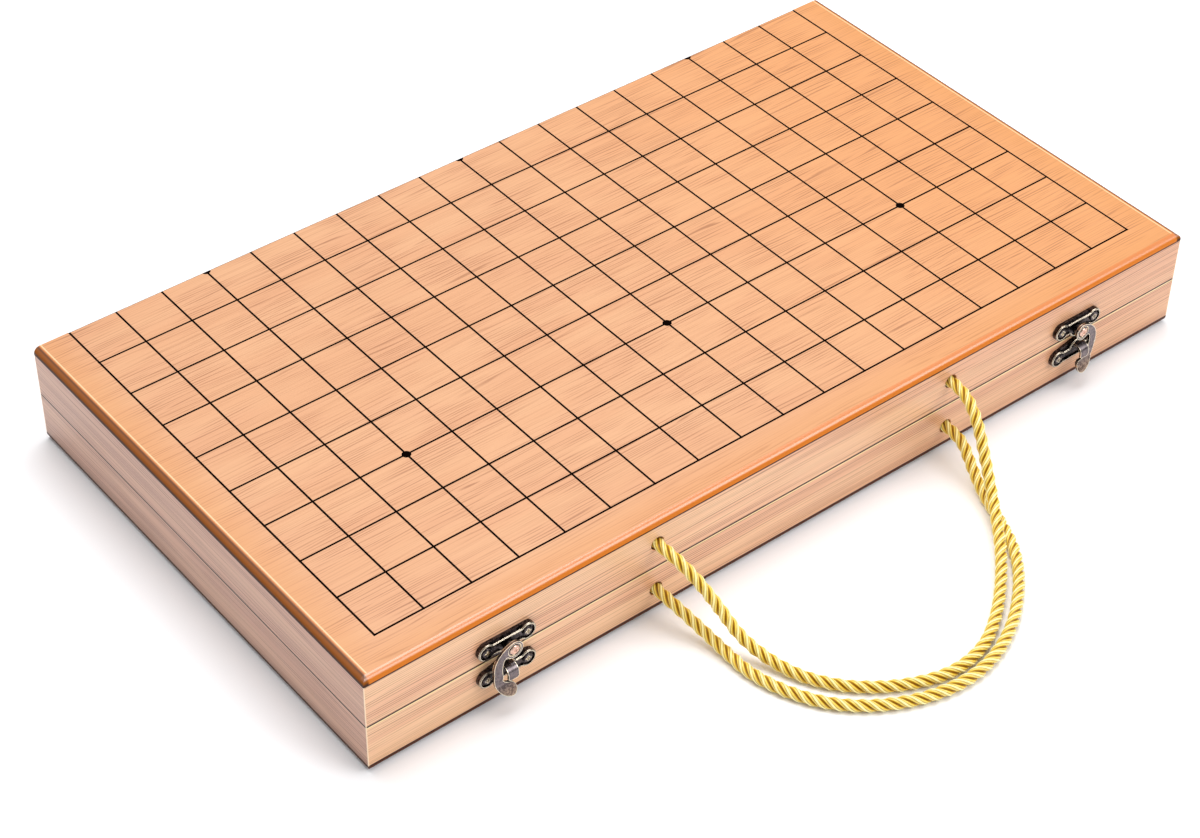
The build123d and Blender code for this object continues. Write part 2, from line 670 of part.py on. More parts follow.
def main():
    os.makedirs("parts", exist_ok=True)
    lid_bottom = PARTING + PARTING_GAP / 2

    face = board()
    save(Pos(0, 0, HEIGHT) * face, "lid_board")
    save(Rot(0, 180, 0) * face, "base_board")

    base_rails = four_rails(BOARD_THICKNESS)
    base_rails["front"] -= rope_holes(BASE_HOLE_Z) + plate_pilots(CATCH_PLATE_Z)
    base_rails["back"] -= hinge_recesses(-1)
    lid_rails = four_rails(lid_bottom)
    lid_rails["front"] -= rope_holes(LID_HOLE_Z) + plate_pilots(HOOK_PLATE_Z)
    lid_rails["back"] -= hinge_recesses(1)
    for name in base_rails:
        save(base_rails[name], f"base_{name}_rail")
        save(lid_rails[name], f"lid_{name}_rail")
    save(divider(BOARD_THICKNESS), "base_divider")
    save(divider(lid_bottom), "lid_divider")

    for name, middle in (("left", -HINGE_X), ("right", HINGE_X)):
        save(hinge_leaf(middle, -1), f"{name}_hinge_base_leaf")
        save(hinge_leaf(middle, 1), f"{name}_hinge_lid_leaf")
        save(hinge_pin(middle), f"{name}_hinge_pin")
    for half, side in (("base", -1), ("lid", 1)):
        screws = [hinge_screw(x, y, side) for x, y in hinge_screw_places()]
        save(group(screws), f"{half}_hinge_screws")

    for node, pair in (
        ("hook_plate", both_sides(hook_plate())),
        ("catch_plate", both_sides(catch_plate())),
        ("pivot_rivet", both_sides(pivot_rivet())),
    ):
        save(pair[0], f"left_{node}")
        save(pair[1], f"right_{node}")
    save(hook(LEFT_HOOK_SET), "left_hook")
    save(mirror(hook(RIGHT_HOOK_SET), about=Plane.YZ), "right_hook")
    for node, z in (("hook_plate_screws", HOOK_PLATE_Z), ("catch_plate_screws", CATCH_PLATE_Z)):
        save(group(plate_screw(x, z) for x, z in plate_screw_places(z)), node)

    for half, z, route in (
        ("base", BASE_HOLE_Z, BASE_ROPE_ROUTE),
        ("lid", LID_HOLE_Z, LID_ROPE_ROUTE),
    ):
        save(rope_loop(route, f"{half}_handle_rope"), f"{half}_handle_rope")
        knots = [rope_knot(x, z) for x in (-HANDLE_HOLE_X, HANDLE_HOLE_X)]
        save(group(knots), f"{half}_handle_knots")

    inner = HALF_WIDTH - RAIL_THICKNESS
    middle = DIVIDER_THICKNESS / 2
    save(stones(-inner, -middle, BLACK_COUNT), "black_stones")
    save(stones(middle, inner, WHITE_COUNT), "white_stones")


main()
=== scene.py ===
import math

import bpy
from mathutils import Matrix, Vector


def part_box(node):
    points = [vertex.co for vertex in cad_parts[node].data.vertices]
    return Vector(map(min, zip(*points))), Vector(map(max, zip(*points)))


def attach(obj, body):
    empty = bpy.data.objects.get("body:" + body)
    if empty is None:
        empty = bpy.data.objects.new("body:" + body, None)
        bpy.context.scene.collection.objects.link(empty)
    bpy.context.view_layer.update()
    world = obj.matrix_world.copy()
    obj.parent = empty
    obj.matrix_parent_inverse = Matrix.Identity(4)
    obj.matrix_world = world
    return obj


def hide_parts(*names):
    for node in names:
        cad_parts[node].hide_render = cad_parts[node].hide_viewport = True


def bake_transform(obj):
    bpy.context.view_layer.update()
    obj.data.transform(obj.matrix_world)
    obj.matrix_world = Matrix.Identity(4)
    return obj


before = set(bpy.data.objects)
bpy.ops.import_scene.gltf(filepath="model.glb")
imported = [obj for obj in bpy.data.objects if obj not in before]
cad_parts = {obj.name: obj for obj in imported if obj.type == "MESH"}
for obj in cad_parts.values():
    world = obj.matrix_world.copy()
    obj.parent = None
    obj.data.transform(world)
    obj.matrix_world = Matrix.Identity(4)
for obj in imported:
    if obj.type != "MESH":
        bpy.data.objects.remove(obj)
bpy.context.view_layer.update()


# The photographer's view. The closed case lies on a white sweep and is seen over its front left
# corner through a long lens. Large soft panels and a white room that darkens towards its floor light it.
camera_place = (-0.585152, -0.701207, 0.781085)
camera_right = (0.78173252, -0.62347209, 0.01329759)
camera_up = (0.40472284, 0.52344853, 0.74980068)
lens_mm = 81.6
sensor_mm = 36.0

camera = bpy.data.objects.new("camera", bpy.data.cameras.new("camera"))
bpy.context.scene.collection.objects.link(camera)
camera.data.sensor_width = sensor_mm
camera.data.lens = lens_mm
camera.data.clip_end = 50
right, up = Vector(camera_right), Vector(camera_up)
turn = Matrix((right, up, right.cross(up))).transposed()
camera.matrix_world = Matrix.Translation(camera_place) @ turn.to_4x4()
bpy.context.scene.camera = camera
bpy.context.scene.view_settings.view_transform = "Standard"

for panel, place, size, power in (
    ("front_panel", (0.9, -1.5, 1.3), 1.2, 17.0),
    ("top_panel", (0.15, 0.35, 1.9), 1.5, 30.0),
):
    light = bpy.data.objects.new(panel, bpy.data.lights.new(panel, "AREA"))
    bpy.context.scene.collection.objects.link(light)
    light.data.size = size
    light.data.energy = power
    light.location = place
    light.rotation_mode = "QUATERNION"
    light.rotation_quaternion = (-Vector(place)).to_track_quat("-Z", "Y")


def linear(code):
    """An sRGB hex value as the linear colour that a shader takes."""
    channels = [int(code[i:i + 2], 16) / 255 for i in (1, 3, 5)]
    return [*(c / 12.92 if c <= 0.04045 else ((c + 0.055) / 1.055) ** 2.4 for c in channels), 1.0]


def add(tree, kind, inputs=None, **settings):
    """Adds a node. Its settings are properties. Its inputs are values, or sockets that feed them."""
    node = tree.nodes.new(kind)
    for name, value in settings.items():
        setattr(node, name, value)
    for name, value in (inputs or {}).items():
        if isinstance(value, bpy.types.NodeSocket):
            tree.links.new(value, node.inputs[name])
        else:
            node.inputs[name].default_value = value
    return node


def new_material(name):
    """A material with its node tree and its Principled shader."""
    material = bpy.data.materials.new(name)
    material.use_nodes = True
    tree = material.node_tree
    return material, tree, tree.nodes["Principled BSDF"]


horizon_glow, zenith_glow = 0.32, 0.76
world = bpy.data.worlds.new("white_room")
world.use_nodes = True
bpy.context.scene.world = world
room = world.node_tree
sky = add(room, "ShaderNodeSeparateXYZ", {0: add(room, "ShaderNodeTexCoord").outputs["Generated"]})
glow = add(room, "ShaderNodeMapRange",
           {"Value": sky.outputs["Z"], "To Min": horizon_glow, "To Max": zenith_glow})
room.links.new(glow.outputs[0], room.nodes["Background"].inputs["Strength"])
room.nodes["Background"].inputs["Color"].default_value = (1.0, 1.0, 1.0, 1.0)

half_floor = 6.0
floor_mesh = bpy.data.meshes.new("sweep")
floor_mesh.from_pydata(
    [(-half_floor, -half_floor, 0), (half_floor, -half_floor, 0),
     (half_floor, half_floor, 0), (-half_floor, half_floor, 0)],
    [],
    [(0, 1, 2, 3)],
)
floor = bpy.data.objects.new("sweep", floor_mesh)
bpy.context.scene.collection.objects.link(floor)
floor_paper, tree, shader = new_material("white_paper_sweep")
shader.inputs["Base Color"].default_value = linear("#F8F8FA")
shader.inputs["Roughness"].default_value = 0.9
floor_mesh.materials.append(floor_paper)


# The two boards, one the lid and one the underside of the case. Each is a thin panel with a printed
# and lacquered wood face, half of the grid etched into it and its three free edges rounded over.
case_low, case_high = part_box("base_board")[0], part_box("lid_board")[1]
front_y, back_y = case_low.y, case_high.y
half_width = case_high.x
parting_z = case_high.z / 2
edge_radius = 0.003
board_thickness = 0.0035
dash_spacing = 0.0013
line_depth = 0.00025
line_half = 0.00048
line_blur = 0.0001
grid_margin = 0.017
steps_from_middle = 9
last_column_x = half_width - grid_margin
first_row_y = front_y + grid_margin
pitch_x = last_column_x / steps_from_middle
pitch_y = (back_y - first_row_y) / steps_from_middle


def grain(tree, place, size, seed, detail=3.0):
    """Noise stretched into streaks of the given size along X, Y and Z, in metres."""
    mapping = add(tree, "ShaderNodeMapping", {
        "Vector": place,
        "Location": (seed, seed, seed),
        "Scale": tuple(1 / length for length in size),
    })
    return add(tree, "ShaderNodeTexNoise", {
        "Vector": mapping.outputs[0], "Scale": 1.0, "Detail": detail, "Roughness": 0.6,
    }).outputs["Fac"]


def band(tree, value, low, high, least=0.0, most=1.0):
    """A mask: least at low and most at high, with a smooth step between. low may be above high."""
    return add(tree, "ShaderNodeMapRange", {
        "Value": value, "From Min": low, "From Max": high, "To Min": least, "To Max": most,
    }, interpolation_type="SMOOTHSTEP").outputs[0]


def overlap(tree, mask, *others):
    """The mask of what lies under all the given masks."""
    for other in others:
        mask = add(tree, "ShaderNodeMath", {0: mask, 1: other}, operation="MULTIPLY").outputs[0]
    return mask


def painted(tree, ground, *coats):
    """A colour with coats over it. A coat is a mask and a colour, and a colour a hex value or a socket."""
    colour = linear(ground) if isinstance(ground, str) else ground
    for mask, coat in coats:
        over = linear(coat) if isinstance(coat, str) else coat
        colour = add(tree, "ShaderNodeMix", {0: mask, 6: colour, 7: over}, data_type="RGBA").outputs[2]
    return colour


def from_middle(tree, xyz, axis, middle=0.0):
    """The distance from the plane at middle, along one axis."""
    offset = add(tree, "ShaderNodeMath", {0: xyz.outputs[axis], 1: middle}, operation="SUBTRACT")
    return add(tree, "ShaderNodeMath", {0: offset.outputs[0]}, operation="ABSOLUTE").outputs[0]


def hairlines(tree, across, period, wander, breaks):
    """Thin lines of grain that repeat across the fibres, a period apart, and wander and break off."""
    periods_wandered = 6.0
    straight = add(tree, "ShaderNodeMath", {0: across, 1: period}, operation="DIVIDE")
    shift = add(tree, "ShaderNodeMath", {0: wander, 1: periods_wandered}, operation="MULTIPLY")
    phase = add(tree, "ShaderNodeMath", {0: straight.outputs[0], 1: shift.outputs[0]}, operation="ADD")
    angle = add(tree, "ShaderNodeMath", {0: phase.outputs[0], 1: 2 * math.pi}, operation="MULTIPLY")
    wave = add(tree, "ShaderNodeMath", {0: angle.outputs[0]}, operation="SINE")
    return overlap(tree, band(tree, wave.outputs[0], 0.1, 0.95), band(tree, breaks, 0.36, 0.58))


# Lacquered wood veneer with an orange stain: dashes of grain, spaced widely enough to show, in drifting
# patches under a satin coat. The rounded edges took more stain and have a gloss; the side roundings and
# those along the underside are darkened further with painted shade. The etched lines are burnt dark, a
# little past their grooves.
board_face, tree, shader = new_material("lacquered_orange_veneer")
place = add(tree, "ShaderNodeTexCoord").outputs["Object"]
xyz = add(tree, "ShaderNodeSeparateXYZ", {0: place})
tone = grain(tree, place, (0.14, 0.018, 0.1), seed=3.1, detail=1.0)
patch = grain(tree, place, (0.034, 0.015, 0.1), seed=7.7, detail=1.0)
streak = grain(tree, place, (0.060, 0.0008, 0.1), seed=1.3, detail=2.0)
wander = grain(tree, place, (0.12, 0.008, 0.1), seed=5.9, detail=2.0)
breaks = grain(tree, place, (0.026, 0.0013, 0.1), seed=8.3, detail=1.0)
dashes = hairlines(tree, xyz.outputs["Y"], dash_spacing, wander, breaks)
face = painted(
    tree, "#D29A70",
    (band(tree, tone, 0.36, 0.64), "#D5A076"),
    (band(tree, patch, 0.36, 0.66, most=0.36), "#CE936D"),
    (band(tree, xyz.outputs["X"], -0.04, half_width, most=0.75), "#DA9355"),
    (band(tree, streak, 0.48, 0.64, most=0.20), "#B47A52"),
    (overlap(tree, dashes, band(tree, patch, 0.36, 0.62, least=0.20, most=0.62)), "#8C532C"),
)

# The pale arris along the sides, and the stained roundings with the seam below them. The side roundings
# are painted darker as painted shade, most of all away from the board's outer face, and the roundings
# along the underside are painted dark as painted shade.
height = from_middle(tree, xyz, "Z", parting_z)
below = add(tree, "ShaderNodeMath", {0: parting_z, 1: height}, operation="SUBTRACT").outputs[0]
side_x = from_middle(tree, xyz, "X")
in_x = add(tree, "ShaderNodeMath", {0: side_x, 1: half_width - edge_radius}, operation="SUBTRACT").outputs[0]
in_y = add(tree, "ShaderNodeMath", {0: front_y + edge_radius, 1: xyz.outputs["Y"]},
           operation="SUBTRACT").outputs[0]
into_edge = add(tree, "ShaderNodeMath", {0: in_x, 1: in_y}, operation="MAXIMUM").outputs[0]
arris = overlap(tree, band(tree, in_x, -0.0009, -0.0006), band(tree, in_x, -0.0001, -0.0003, most=0.7))
# Painted shade: the side roundings are dark brown where the front one is orange, darkest away from the face.
side_edge_shade = painted(
    tree, "#5E3006",
    (band(tree, below, 0.0001, 0.0006), "#924E06"),
    (band(tree, below, 0.0014, 0.0028), "#401E04"),
)
edge_colour = painted(
    tree, "#D07420",
    (band(tree, in_x, 0.0, 0.0010), side_edge_shade),
    # Painted shade: the roundings along the underside, next to the floor, are dark brown.
    (band(tree, xyz.outputs["Z"], 0.008, 0.006), "#54290F"),
)
seam = overlap(tree, band(tree, below, board_thickness - 0.0006, board_thickness - 0.0004),
               band(tree, into_edge, 0.0, 0.001))

# The grid's burnt lines, the bottoms of the grooves and star points, and the bare inner face.
line_x = add(tree, "ShaderNodeMath", {0: side_x, 1: pitch_x / 2}, operation="PINGPONG").outputs[0]
from_row = add(tree, "ShaderNodeMath", {0: xyz.outputs["Y"], 1: first_row_y}, operation="SUBTRACT").outputs[0]
line_y = add(tree, "ShaderNodeMath", {0: from_row, 1: pitch_y / 2}, operation="PINGPONG").outputs[0]
on_x = overlap(tree, band(tree, line_x, line_half + line_blur, line_half - line_blur),
               band(tree, xyz.outputs["Y"], first_row_y - line_half - line_blur, first_row_y - line_half))
on_y = overlap(tree, band(tree, line_y, line_half + line_blur, line_half - line_blur),
               band(tree, side_x, last_column_x + line_half + line_blur, last_column_x + line_half))
on_line = add(tree, "ShaderNodeMath", {0: on_x, 1: on_y}, operation="MAXIMUM").outputs[0]
printed = overlap(tree, on_line, band(tree, below, 2 * line_depth, line_depth))
sunk = overlap(tree, band(tree, below, 0.3 * line_depth, 0.6 * line_depth),
               band(tree, into_edge, 0.0, -0.002),
               band(tree, below, 2 * line_depth, 1.4 * line_depth))
etched = add(tree, "ShaderNodeMath", {0: printed, 1: sunk}, operation="MAXIMUM").outputs[0]
inside = overlap(tree, band(tree, below, board_thickness - 0.0004, board_thickness - 0.0002),
                 band(tree, into_edge, 0.001, 0.0))
colour = painted(
    tree, face,
    (band(tree, into_edge, -grid_margin, -0.001, most=0.40), "#D08C4C"),
    (arris, "#F8D6A6"),
    (band(tree, into_edge, -0.0002, 0.0004), edge_colour),
    (seam, "#2E1406"),
    (etched, "#0C0605"),
    (inside, "#D9B48A"),
)
tree.links.new(colour, shader.inputs["Base Color"])

# The coat, glossy on the front rounding, satin on the face and dull in the lines and down the edges.
gloss = overlap(tree, band(tree, in_y, -0.0001, 0.0006), band(tree, below, 0.0016, 0.0009))
down_edge = band(tree, below, 0.0006, 0.0016, most=0.8)
dull = add(tree, "ShaderNodeMath", {0: etched, 1: down_edge}, operation="MAXIMUM").outputs[0]
coated = add(tree, "ShaderNodeMath", {0: 1.0, 1: dull}, operation="SUBTRACT").outputs[0]
for socket, flat, rounded in (
    ("Roughness", 0.46, 0.30),
    ("Coat Weight", 0.2, 1.0),
    ("Specular IOR Level", 0.5, 0.8),
):
    value = add(tree, "ShaderNodeMapRange", {"Value": gloss, "To Min": flat, "To Max": rounded}).outputs[0]
    if socket != "Roughness":
        value = overlap(tree, value, coated)
    tree.links.new(value, shader.inputs[socket])
shader.inputs["Coat Roughness"].default_value = 0.30
shader.inputs["Coat IOR"].default_value = 1.65
relief = add(tree, "ShaderNodeBump", {"Height": streak, "Strength": 0.08, "Distance": 0.0002})
tree.links.new(relief.outputs[0], shader.inputs["Normal"])


def wear(material, *nodes):
    """Gives CAD nodes a material."""
    for node in nodes:
        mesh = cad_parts[node].data
        mesh.materials.clear()
        mesh.materials.append(material)


wear(board_face, "lid_board", "base_board")


# The eight rails, the walls of the two halves, mitred at the corners and glued to the boards. They
# are straight-grained wood: the front and back ones pinkish, the side ones greyer in the photograph, a
# darker copy of the same wood that is painted shade.
grain_line_spacing = 0.00105
skin_inner, skin_outer = 0.0005, 0.0002


def rail_wood(name, lengthwise, pale, brown, streaks, lip_highlight_colour, foot_colour):
    """Satin-lacquered straight-grained wood whose long fibres run along X or Y."""
    material, tree, shader = new_material(name)
    place = add(tree, "ShaderNodeTexCoord").outputs["Object"]
    xyz = add(tree, "ShaderNodeSeparateXYZ", {0: place})

    def along_rail(length, width, seed, detail):
        """Grain that lies along the rail and is as deep as it is wide."""
        size = (length, width, width) if lengthwise == "X" else (width, length, width)
        return grain(tree, place, size, seed, detail)

    breaks = along_rail(0.080, 0.0010, seed=2.3, detail=1.0)
    bands = along_rail(0.11, 0.0016, seed=8.1, detail=2.0)
    drift = along_rail(0.20, 0.009, seed=4.7, detail=2.0)
    wander = along_rail(0.25, 0.012, seed=6.6, detail=2.0)
    across = add(tree, "ShaderNodeMath",
                 {0: xyz.outputs["Z"], 1: xyz.outputs["Y" if lengthwise == "X" else "X"]}, operation="ADD")
    lines = hairlines(tree, across.outputs[0], grain_line_spacing, wander, breaks)

    # On the outer faces: the joint under each board, painted shade along the gap between the halves with a
    # painted highlight on the base's pale lip below it, and a painted highlight down the pale corner of the
    # mitre.
    at_side = band(tree, from_middle(tree, xyz, "X"), half_width - skin_inner, half_width - skin_outer)
    at_front = band(tree, from_middle(tree, xyz, "Y"), back_y - skin_inner, back_y - skin_outer)
    outer = add(tree, "ShaderNodeMath", {0: at_side, 1: at_front}, operation="MAXIMUM").outputs[0]
    height = from_middle(tree, xyz, "Z", parting_z)
    below = add(tree, "ShaderNodeMath", {0: parting_z, 1: xyz.outputs["Z"]}, operation="SUBTRACT").outputs[0]
    joint = band(tree, height, parting_z - board_thickness - 0.0004, parting_z - board_thickness - 0.0001)
    gap_shade = band(tree, height, 0.0006, 0.0003)
    lip_highlight = overlap(tree, band(tree, below, 0.0004, 0.0006), band(tree, below, 0.0012, 0.0009))
    colour = painted(
        tree, pale,
        (band(tree, drift, 0.35, 0.65), brown),
        (band(tree, xyz.outputs["Z"], 0.012, 0.001, most=0.6), foot_colour),
        (band(tree, xyz.outputs["X"], -0.05, half_width, most=0.45), "#CE9068"),
        (band(tree, bands, 0.50, 0.66, most=0.16), streaks),
        (overlap(tree, lines, band(tree, drift, 0.30, 0.60, least=0.40, most=0.80)), streaks),
        (overlap(tree, joint, outer), "#4E2A14"),
        # Painted shade: a dark band along the gap between the halves.
        (overlap(tree, gap_shade, outer), "#40220F"),
        # Painted highlight: a pale line on the base rails' edge just below the gap.
        (overlap(tree, lip_highlight, outer), lip_highlight_colour),
        # Painted highlight: a pale line down the rounded corner of the mitre.
        (overlap(tree, at_side, at_front), "#F6D9B4"),
    )
    tree.links.new(colour, shader.inputs["Base Color"])
    shader.inputs["Roughness"].default_value = 0.38
    shader.inputs["Coat Weight"].default_value = 0.3
    shader.inputs["Coat Roughness"].default_value = 0.2
    relief = add(tree, "ShaderNodeBump", {"Height": lines, "Strength": 0.1, "Distance": 0.0002})
    tree.links.new(relief.outputs[0], shader.inputs["Normal"])
    return material


long_rails = rail_wood("lacquered_pinkish_beech", "X", "#EFBF94", "#E4AC86", "#8E5838", "#F7DCA0", "#E0A878")
# Painted shade: the side rails are the same wood, painted darker and greyer, and darker still at the foot.
side_rails_in_painted_shade = rail_wood("lacquered_beech_in_painted_shade", "Y", "#D2A489", "#C6967E", "#744C3A", "#CFA48A", "#8C5836")
for half in ("base", "lid"):
    wear(long_rails, f"{half}_front_rail", f"{half}_back_rail")
    wear(side_rails_in_painted_shade, f"{half}_left_rail", f"{half}_right_rail")


# The two dividers. A thin board of planed pine, left bare and pale with faint fibres, is glued in
# across the middle of each half and parts the black stones from the white.
bare_wood, tree, shader = new_material("bare_planed_pine")
place = add(tree, "ShaderNodeTexCoord").outputs["Object"]
fibres = grain(tree, place, (0.0009, 0.14, 0.0009), seed=6.2)
colour = painted(tree, "#E3C79C", (band(tree, fibres, 0.42, 0.68), "#C79F6C"))
tree.links.new(colour, shader.inputs["Base Color"])
shader.inputs["Roughness"].default_value = 0.6
wear(bare_wood, "base_divider", "lid_divider")


# The two butt hinges, let into the back rails, with their pins and countersunk screws: small pressed
# brass, brushed along the leaf and lightly aged.
hinge_brass, tree, shader = new_material("brushed_yellow_brass")
place = add(tree, "ShaderNodeTexCoord").outputs["Object"]
brush = grain(tree, place, (0.02, 0.00025, 0.00025), seed=9.4)
colour = painted(tree, "#C9A45C", (band(tree, brush, 0.35, 0.7), "#9A7838"))
tree.links.new(colour, shader.inputs["Base Color"])
shader.inputs["Metallic"].default_value = 1.0
shader.inputs["Roughness"].default_value = 0.34
wear(hinge_brass, "base_hinge_screws", "lid_hinge_screws",
     *(f"{side}_hinge_{part}" for side in ("left", "right") for part in ("base_leaf", "lid_leaf", "pin")))


# The two hook latches. Their plates, hooks and screws are cast and antiqued: blackened all over, then
# rubbed so that the rims and edges show brass. The hooks turn on coppery rivets.
plate_floor, hook_back = 0.0016, 0.0049
worn_edge_radius = 0.0005
lip_top, lip_foot = 0.0165, 0.0105
lip_back, lip_front = 0.0030, 0.0045


def antiqued(name, dark, middle, rubbed, shift):
    """Metal that is black where it lies deep, greyer where it stands proud, rubbed at its edges, and brown
    mottled with painted cream highlight on the hook's lip.
    """
    material, tree, shader = new_material(name)
    place = add(tree, "ShaderNodeTexCoord").outputs["Object"]
    xyz = add(tree, "ShaderNodeSeparateXYZ", {0: place})
    proud = add(tree, "ShaderNodeMath", {0: front_y, 1: xyz.outputs["Y"]}, operation="SUBTRACT").outputs[0]
    cloud = grain(tree, place, (0.0016, 0.0016, 0.0016), seed=shift)
    pits = grain(tree, place, (0.00035, 0.00035, 0.00035), seed=shift + 2.0)
    rounded = add(tree, "ShaderNodeBevel", {"Radius": worn_edge_radius}, samples=16)
    flat = add(tree, "ShaderNodeNewGeometry")
    match = add(tree, "ShaderNodeVectorMath", {0: rounded.outputs[0], 1: flat.outputs["Normal"]},
                operation="DOT_PRODUCT").outputs["Value"]
    handled = band(tree, proud, plate_floor, hook_back, most=0.60)
    clouded = band(tree, cloud, 0.34, 0.62, most=0.40)
    worn = add(tree, "ShaderNodeMath", {0: handled, 1: clouded}, operation="ADD").outputs[0]
    # Painted highlight: the hook's lip is brown mottled with cream, the cream standing for highlights.
    lip_highlight_patch = overlap(tree, band(tree, xyz.outputs["Z"], lip_top, lip_foot, most=0.6),
                       band(tree, proud, lip_back, lip_front))
    lip_brown_with_highlight = painted(tree, "#6E5444", (band(tree, cloud, 0.36, 0.62), "#C8A88C"))
    rims = overlap(tree, band(tree, match, 0.992, 0.95),
                   band(tree, proud, plate_floor + 0.0001, plate_floor + 0.0005),
                   band(tree, pits, 0.10, 0.34))
    colour = painted(tree, dark, (worn, middle), (lip_highlight_patch, lip_brown_with_highlight), (rims, rubbed))
    tree.links.new(colour, shader.inputs["Base Color"])
    shader.inputs["Metallic"].default_value = 1.0
    rough = add(tree, "ShaderNodeMapRange", {"Value": cloud, "To Min": 0.18, "To Max": 0.36})
    tree.links.new(rough.outputs[0], shader.inputs["Roughness"])
    relief = add(tree, "ShaderNodeBump", {"Height": pits, "Strength": 0.15, "Distance": 0.0001})
    tree.links.new(relief.outputs[0], shader.inputs["Normal"])
    return material


old_bronze = antiqued("antiqued_bronze", "#1C1716", "#7A7072", "#FFF2D8", 1.7)
wear(old_bronze, "hook_plate_screws", "catch_plate_screws", "left_hook", "right_hook",
     *(f"{side}_{part}_plate" for side in ("left", "right") for part in ("hook", "catch")))
copper = antiqued("dull_copper", "#A07464", "#CFA593", "#F4DCCA", 4.4)
wear(copper, "left_pivot_rivet", "right_pivot_rivet")


# The two rope handles. Each is a gold satin cord laid from three strands. It leaves the front rail by
# a hole at either side, lies on the table in a loop, and is knotted behind the rail.
rope_diameter = 0.0052
rope_lay = 0.0166
strand_reach_share = 0.262
strand_radius_share = 0.236
profile_points = 36
ring_step = 0.0006
hole_x = 0.080
base_hole_z, lid_hole_z = 0.0125, 0.0375
handle_pivot = 0.0035
floor_rest = 0.0027
rail_thickness = 0.008

base_rope_route = [
    (-hole_x, front_y, base_hole_z),
    (-hole_x, front_y - handle_pivot, base_hole_z),
    (-0.0794, -0.1317, 0.0116),
    (-0.0763, -0.1423, 0.0066),
    (-0.0744, -0.1560, 0.0030),
    (-0.0744, -0.1715, floor_rest),
    (-0.0695, -0.1880, floor_rest),
    (-0.0595, -0.2045, floor_rest),
    (-0.0430, -0.2176, floor_rest),
    (-0.0210, -0.2260, floor_rest),
    (0.0015, -0.2264, floor_rest),
    (0.0240, -0.2178, floor_rest),
    (0.0430, -0.2034, floor_rest),
    (0.0575, -0.1870, floor_rest),
    (0.0656, -0.1685, floor_rest),
    (0.0708, -0.1535, 0.0032),
    (0.0760, -0.1405, 0.0072),
    (0.0794, -0.1316, 0.0116),
    (hole_x, front_y - handle_pivot, base_hole_z),
    (hole_x, front_y, base_hole_z),
]
lid_rope_route = [
    (-hole_x, front_y, lid_hole_z),
    (-hole_x, front_y - handle_pivot, lid_hole_z),
    (-0.0790, -0.1320, 0.0362),
    (-0.0760, -0.1410, 0.0300),
    (-0.0722, -0.1495, 0.0200),
    (-0.0690, -0.1595, 0.0094),
    (-0.0640, -0.1730, 0.0036),
    (-0.0585, -0.1875, floor_rest),
    (-0.0475, -0.2020, floor_rest),
    (-0.0310, -0.2136, floor_rest),
    (-0.0115, -0.2204, floor_rest),
    (0.0080, -0.2182, floor_rest),
    (0.0245, -0.2086, floor_rest),
    (0.0385, -0.1970, 0.0036),
    (0.0505, -0.1845, 0.0054),
    (0.0602, -0.1718, 0.0078),
    (0.0674, -0.1610, 0.0112),
    (0.0724, -0.1510, 0.0194),
    (0.0763, -0.1414, 0.0298),
    (0.0790, -0.1320, 0.0362),
    (hole_x, front_y - handle_pivot, lid_hole_z),
    (hole_x, front_y, lid_hole_z),
]


def knot_route(x, z):
    """The rope behind the rail, from its cut tail to the hole: a turn and a half about the hole's line."""
    inner_front = front_y + rail_thickness
    turn_radius = 0.0037
    steps, step_angle = 9, 60
    knot_start, knot_end, tail_end = 0.0034, 0.0090, 0.0185
    tail_bend, mouth_gap = 0.002, 0.0006
    points = [
        (x, inner_front + tail_end, z),
        (x, inner_front + (tail_end + knot_end) / 2 + tail_bend, z),
    ]
    for step in range(steps + 1):
        angle = math.radians(step_angle * step)
        y = inner_front + knot_end + (knot_start - knot_end) * step / steps
        points.append((x + turn_radius * math.cos(angle), y, z + turn_radius * math.sin(angle)))
    return points + [(x, inner_front + mouth_gap, z), (x, inner_front - rail_thickness / 2, z)]


def smooth_line(points):
    """Points along the smooth curve that a route's control points make."""
    curve = bpy.data.curves.new("route", "CURVE")
    curve.dimensions = "3D"
    spline = curve.splines.new("NURBS")
    spline.points.add(len(points) - 1)
    for at, place in zip(spline.points, points):
        at.co = (*place, 1.0)
    spline.order_u = 3
    spline.use_endpoint_u = True
    curve.resolution_u = 16
    carrier = bpy.data.objects.new("route", curve)
    mesh = bpy.data.meshes.new_from_object(carrier)
    line = [v.co.copy() for v in mesh.vertices]
    bpy.data.meshes.remove(mesh)
    bpy.data.objects.remove(carrier)
    bpy.data.curves.remove(curve)
    return line


def carried_along(line):
    """For each point of a line, the length up to it and a side direction that doesn't twist."""
    lengths, sides = [0.0], [(line[1] - line[0]).orthogonal().normalized()]
    for before, here, after in zip(line, line[1:], line[2:] + [2 * line[-1] - line[-2]]):
        turned = (here - before).rotation_difference(after - here)
        lengths.append(lengths[-1] + (here - before).length)
        sides.append(turned @ sides[-1])
    return lengths, sides


def line_mesh(line, lengths, sides, runs):
    """The given runs of a line as edges that keep each point's length and side direction."""
    kept = [i for run in runs for i in run]
    edges = [(kept.index(a), kept.index(b)) for run in runs for a, b in zip(run, run[1:])]
    mesh = bpy.data.meshes.new("line")
    mesh.from_pydata([line[i] for i in kept], edges, [])
    mesh.attributes.new("along", "FLOAT", "POINT").data.foreach_set("value", [lengths[i] for i in kept])
    mesh.attributes.new("side", "FLOAT_VECTOR", "POINT").data.foreach_set(
        "vector", [part for i in kept for part in sides[i]])
    return mesh


